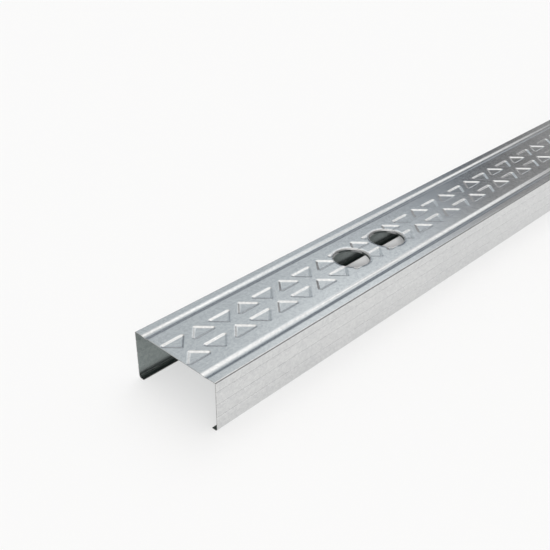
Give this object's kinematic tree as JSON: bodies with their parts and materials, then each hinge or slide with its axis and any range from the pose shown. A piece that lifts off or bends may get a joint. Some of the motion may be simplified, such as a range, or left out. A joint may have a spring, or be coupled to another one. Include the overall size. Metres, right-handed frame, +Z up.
{
  "type": "steel stud",
  "caption": "Roll-formed galvanised C-section wall stud with lipped flanges, stiffening grooves, pressed triangles and round service holes in its web.",
  "frame": {"origin": "on the floor, under the middle of the web and of the length, as the stud lies on its two lips", "axes": "+X along the length, +Y across the web, +Z up, out of the web's outer face"},
  "size_m": [3, 0.0988, 0.048],
  "materials": {
    "galvanised_steel": "satin"
  },
  "bodies": {
    "root": {"stud": "galvanised_steel"}
  },
  "joints": []
}
